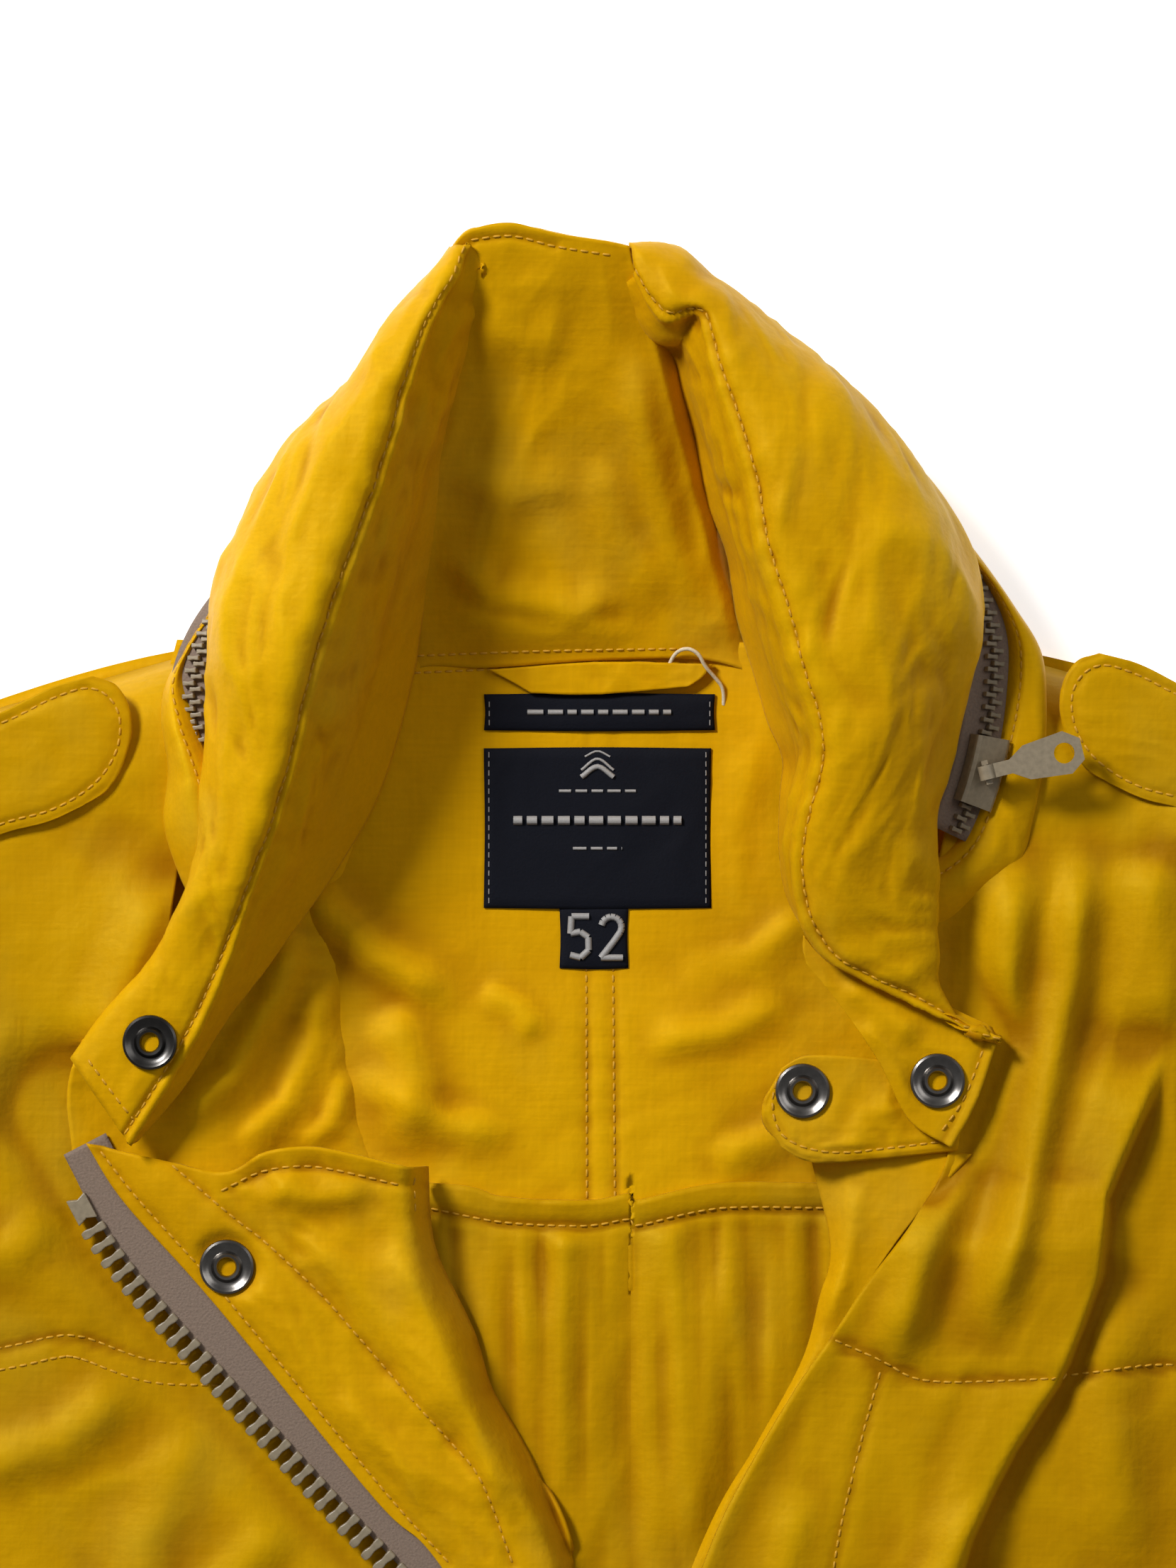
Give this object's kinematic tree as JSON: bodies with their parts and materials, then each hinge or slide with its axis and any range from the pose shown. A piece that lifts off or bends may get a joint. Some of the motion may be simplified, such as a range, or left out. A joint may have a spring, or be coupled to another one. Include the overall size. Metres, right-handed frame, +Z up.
{
  "type": "turnout coat",
  "caption": "Yellow cotton coat laid open on its back: stand collar with a packed hood, moulded zips, ring snaps, storm flap, patch pockets, shoulder straps and set-in sleeves.",
  "frame": {"origin": "bottom centre of the whole coat as it lies on its back", "axes": "+Z up off the surface it lies on, +Y towards the collar, +X towards the wearer's left"},
  "size_m": [1.2094, 0.8985, 0.056],
  "materials": {
    "shell_cloth": "dense plain-weave cotton, golden yellow, slight sheen",
    "inner_cloth": "plain-weave cotton, golden yellow",
    "zip_tape": "woven taupe tape",
    "zip_plastic": "moulded khaki plastic, satin",
    "snap_metal": "gunmetal, polished",
    "woven_label": "woven satin, navy black",
    "string_cotton": "twisted cotton"
  },
  "bodies": {
    "coat": {"back_lining": "inner_cloth", "back_panel": "shell_cloth", "back_yoke_lining": "inner_cloth", "chest_pocket_left": "shell_cloth", "chest_pocket_right": "shell_cloth", "collar_inner": "inner_cloth", "collar_outer": "shell_cloth", "collar_wing_left": "shell_cloth", "collar_wing_right": "shell_cloth", "front_left": "shell_cloth", "front_right": "shell_cloth", "hanger_loop": "inner_cloth", "hip_pocket_left": "shell_cloth", "hip_pocket_right": "shell_cloth", "hood_roll": "inner_cloth", "hood_zip_tape": "zip_tape", "hood_zip_teeth": "zip_plastic", "inner_pocket": "inner_cloth", "label_main": "woven_label", "label_size": "woven_label", "label_strip": "woven_label", "lapel_left": "shell_cloth", "lapel_right": "shell_cloth", "main_tape_left": "zip_tape", "main_tape_right": "zip_tape", "main_teeth_left": "zip_plastic", "main_teeth_right": "zip_plastic", "main_zip_box": "zip_plastic", "snap_sockets": "snap_metal", "snap_studs": "snap_metal", "storm_flap_tab": "shell_cloth", "string": "string_cotton"},
    "main_slider": {"main_slider": "zip_plastic"},
    "main_pull": {"main_pull": "zip_plastic"},
    "hood_slider": {"hood_slider": "zip_plastic"},
    "hood_pull": {"hood_pull": "zip_plastic"},
    "storm_flap": {"storm_flap": "shell_cloth", "storm_flap_snaps": "snap_metal"},
    "strap_left": {"epaulette_left": "shell_cloth"},
    "chest_flap_left": {"chest_flap_left": "shell_cloth", "chest_flap_snap_left": "snap_metal"},
    "hip_flap_left": {"hip_flap_left": "shell_cloth", "hip_flap_snap_left": "snap_metal"},
    "sleeve_left": {"sleeve_top_left": "shell_cloth", "sleeve_under_left": "shell_cloth", "sleeve_folds_left": "shell_cloth", "cuff_left": "shell_cloth"},
    "cuff_tab_left": {"cuff_tab_left": "shell_cloth"},
    "strap_right": {"epaulette_right": "shell_cloth"},
    "chest_flap_right": {"chest_flap_right": "shell_cloth", "chest_flap_snap_right": "snap_metal"},
    "hip_flap_right": {"hip_flap_right": "shell_cloth", "hip_flap_snap_right": "snap_metal"},
    "sleeve_right": {"sleeve_top_right": "shell_cloth", "sleeve_under_right": "shell_cloth", "sleeve_folds_right": "shell_cloth", "cuff_right": "shell_cloth"},
    "cuff_tab_right": {"cuff_tab_right": "shell_cloth"}
  },
  "joints": [
    {"name": "main_zip", "type": "slide", "parent": "coat", "child": "main_slider", "axis": [0, -1, 0], "range_m": [0, 0.39]},
    {"name": "main_pull_swing", "type": "hinge", "parent": "main_slider", "child": "main_pull", "pos_m": [0, -0.0088, 0.0232], "axis": [-1, 0, 0], "range_deg": [0, 150]},
    {"name": "hood_zip", "type": "hinge", "parent": "coat", "child": "hood_slider", "pos_m": [-0.002, 0.3262, 0.0255], "axis": [0, 0, 1], "range_deg": [-4, 24]},
    {"name": "hood_pull_swing", "type": "hinge", "parent": "hood_slider", "child": "hood_pull", "pos_m": [0.10966, 0.29628, 0.0333], "axis": [0.2419, -0.9703, 0], "range_deg": [0, 120]},
    {"name": "storm_flap_swing", "type": "hinge", "parent": "coat", "child": "storm_flap", "pos_m": [0.042, -0.2168, 0.027], "axis": [0, 1, 0], "range_deg": [0, 135]},
    {"name": "strap_left_swing", "type": "hinge", "parent": "coat", "child": "strap_left", "pos_m": [0.212, 0.2842, 0.0206], "axis": [0.2983, 0.9545, 0], "range_deg": [0, 120]},
    {"name": "chest_flap_left_swing", "type": "hinge", "parent": "coat", "child": "chest_flap_left", "pos_m": [0.1625, 0.0522, 0.0295], "axis": [-1, 0, 0], "range_deg": [0, 150]},
    {"name": "hip_flap_left_swing", "type": "hinge", "parent": "coat", "child": "hip_flap_left", "pos_m": [0.165, -0.1978, 0.0295], "axis": [-1, 0, 0], "range_deg": [0, 150]},
    {"name": "sleeve_left_swing", "type": "hinge", "parent": "coat", "child": "sleeve_left", "pos_m": [0.337, 0.1972, 0.012], "axis": [0, 0, 1], "range_deg": [0, 35]},
    {"name": "cuff_tab_left_swing", "type": "hinge", "parent": "sleeve_left", "child": "cuff_tab_left", "pos_m": [0.57723, -0.32833, 0.0253], "axis": [-0.342, 0.9397, 0], "range_deg": [0, 150]},
    {"name": "strap_right_swing", "type": "hinge", "parent": "coat", "child": "strap_right", "pos_m": [-0.212, 0.2842, 0.0206], "axis": [0.2983, -0.9545, 0], "range_deg": [0, 120]},
    {"name": "chest_flap_right_swing", "type": "hinge", "parent": "coat", "child": "chest_flap_right", "pos_m": [-0.1625, 0.0522, 0.0295], "axis": [-1, 0, 0], "range_deg": [0, 150]},
    {"name": "hip_flap_right_swing", "type": "hinge", "parent": "coat", "child": "hip_flap_right", "pos_m": [-0.165, -0.1978, 0.0295], "axis": [-1, 0, 0], "range_deg": [0, 150]},
    {"name": "sleeve_right_swing", "type": "hinge", "parent": "coat", "child": "sleeve_right", "pos_m": [-0.337, 0.1972, 0.012], "axis": [0, 0, -1], "range_deg": [0, 35]},
    {"name": "cuff_tab_right_swing", "type": "hinge", "parent": "sleeve_right", "child": "cuff_tab_right", "pos_m": [-0.57723, -0.32833, 0.0253], "axis": [-0.342, -0.9397, 0], "range_deg": [0, 150]}
  ]
}
